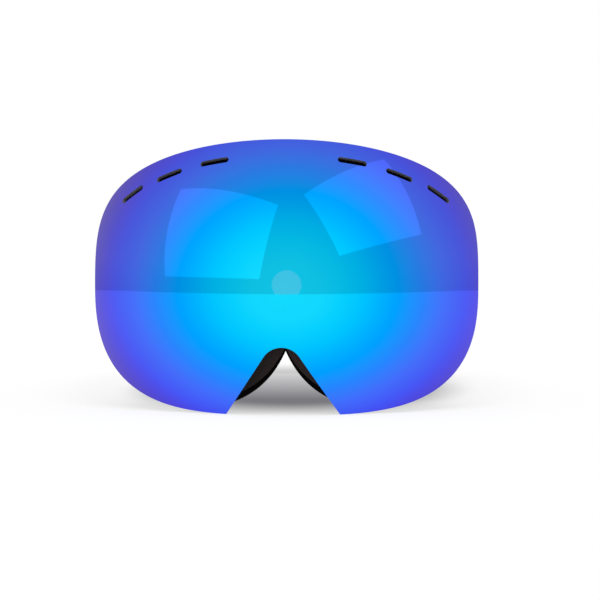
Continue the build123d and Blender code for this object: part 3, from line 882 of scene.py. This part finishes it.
def along(path):
    """A path without repeated points, and how far along it each point lies."""
    clean = [path[0]] + [b for a, b in zip(path, path[1:]) if math.dist(a, b) > 1e-6]
    lengths = [0.0]
    for a, b in zip(clean, clean[1:]):
        lengths.append(lengths[-1] + math.dist(a, b))
    return clean, lengths


# %% One half of the strap
fold = 0.66 * mm                               # radius of the hem's fold, in the middle of the webbing
fold_back = tail_end - 1.4 * mm
ease_steps, hem_steps = 12, 12
ease = [(inner_x + (tail_x - inner_x) * (3 * t**2 - 2 * t**3), layers_part + (tail_close - layers_part) * t)
        for t in (1 - k / ease_steps for k in range(ease_steps + 1))]
strap_path, strap_lengths = along(
    line((tail_x + 2 * fold, tail_end - hem), (tail_x + 2 * fold, fold_back), 2 * mm)
    + arc((tail_x + fold, fold_back), fold, 0, 180, 0.4 * mm)
    + line((tail_x, fold_back), (tail_x, tail_close), 3 * mm)
    + ease
    + line((inner_x, layers_part), (inner_x, bar_reach), 1.5 * mm)
    + arc((hinge.x, bar_reach), bar_offset, 180, 360, 0.6 * mm)
    + line((band_x, bar_reach), (band_x, strap_straight), 3 * mm)
    + arc((0, strap_straight), band_x, 0, 90, 2.5 * mm)
)
rib_count = 16


def strap_half(name, side):
    section = round_section(4 * rib_count, 2, 3)
    rounding, rib = 0.55 * mm, 0.07 * mm
    half_thick = strap_thick / 2 - rib

    def place(i, j):
        a, b, c, d = section[j % len(section)]
        before, after = strap_path[max(i - 1, 0)], strap_path[min(i + 1, len(strap_path) - 1)]
        heading = Vector((after[0] - before[0], after[1] - before[1])).normalized()
        up = (a - 0.5) * (strap_width - 2 * rounding) + c * rounding
        out = (b - 0.5) * 2 * (half_thick - rounding) + d * rounding
        out += math.copysign(rib * (1 - math.cos(2 * math.pi * rib_count * a)) / 2, b - 0.5) * abs(d)
        x, back = strap_path[i]
        out *= 0.9 if i < hem_steps else 1.0   # pressed flatter where it is folded
        return strap_point(side * (x + heading.y * out), back - heading.x * out, up)

    piece = wrap_grid(name, len(strap_path) - 1, len(section), place, strap_lengths[-1],
                      2 * (strap_width + strap_thick))
    return piece


stitch_rows, stitch_count, stitch_pitch = (1.8 * mm, 5.6 * mm), 15, 2.55 * mm


def stitches(name, side):
    """Two rows of thread that hold the hem, as small rods that dip into the webbing."""
    bm = bmesh.new()
    for row in stitch_rows:
        for k in range(stitch_count):
            made = bmesh.ops.create_uvsphere(bm, u_segments=8, v_segments=6, radius=1)["verts"]
            bmesh.ops.scale(bm, verts=made, vec=(0.22 * mm, 0.24 * mm, 0.95 * mm))
            up = (k - stitch_count // 2) * stitch_pitch
            where = strap_point(side * (tail_x - strap_thick / 2), tail_end - row, up)
            bmesh.ops.rotate(bm, verts=made, cent=(0, 0, 0), matrix=Matrix.Rotation(-droop, 3, "X"))
            bmesh.ops.translate(bm, verts=made, vec=where)
    piece = make_piece(name, bm)
    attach(piece, "face_frame")
    return piece


# %% [markdown]
# ### Webbing texture
#
# The cords of the webbing are in its mesh. Between them the weave shows as small steps across the
# strap, which shift from one cord to the next, so they need the strap's own UV map: its first
# number runs along the strap and its second across, both in metres. The colour follows the same
# pattern, as painted highlight on the raised steps and painted shade between the cords.

# %% Webbing
webbing = Finish("elastic_webbing", Roughness=0.8, Sheen_Weight=0.25)
u, v, _ = webbing.xyz(webbing.uv)
cord = v * (rib_count / strap_width)
step = (u * (2 * math.pi / (1.1 * mm)) + (cord * math.pi).sin() * 1.6).sin()
fine = (u * (2 * math.pi / (0.36 * mm)) + v * (2 * math.pi / (0.5 * mm))).sin()
# Darker along lines down the strap, meant for the grooves between the cords: painted shade.
groove_shade = (cord * math.pi).sin().abs()
fuzz = webbing.noise(0.6 * mm, 4.0, 0.7)
weave_and_painted_light = step * 0.35 + fine * 0.12 + groove_shade * 0.4 + fuzz * 0.35
# Lighter where the pattern stands up and darker where it sinks: painted highlight and shade, on top of the
# real bump.
webbing.feed(Base_Color=tint((weave_and_painted_light * 0.6 + 0.15).clamp(), (0.004, 0.004, 0.0045), (0.026, 0.026, 0.028)))
webbing.bump(weave_and_painted_light, 0.12 * mm)

thread = Finish("hem_thread", Roughness=0.6, Sheen_Weight=0.2)
x, y, z = thread.xyz()
twist = ((y + z) * (2 * math.pi / (0.3 * mm))).sin()
thread.feed(Base_Color=tint(twist * 0.5 + 0.5, (0.02, 0.02, 0.022), (0.07, 0.07, 0.075)))
thread.bump(twist, 0.04 * mm)

bend_start, bend_end = 30 * mm, 50 * mm        # behind the hinge, in front of the adjuster's travel
for side, name in ((1, "left"), (-1, "right")):
    half = strap_half("strap_half_" + name, side)
    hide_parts("strap_band", "strap_tail_" + name, "strap_loop_" + name)
    paint(half, webbing)
    strap_point(side * band_x, bend_start, 0)
    strap_point(side * band_x, bend_end, 0)
    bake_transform(half)
    paint(stitches("hem_stitches_" + name, side), thread)
print("strap:", round(strap_lengths[-1] / mm), "mm a side,", len(strap_path), "steps")
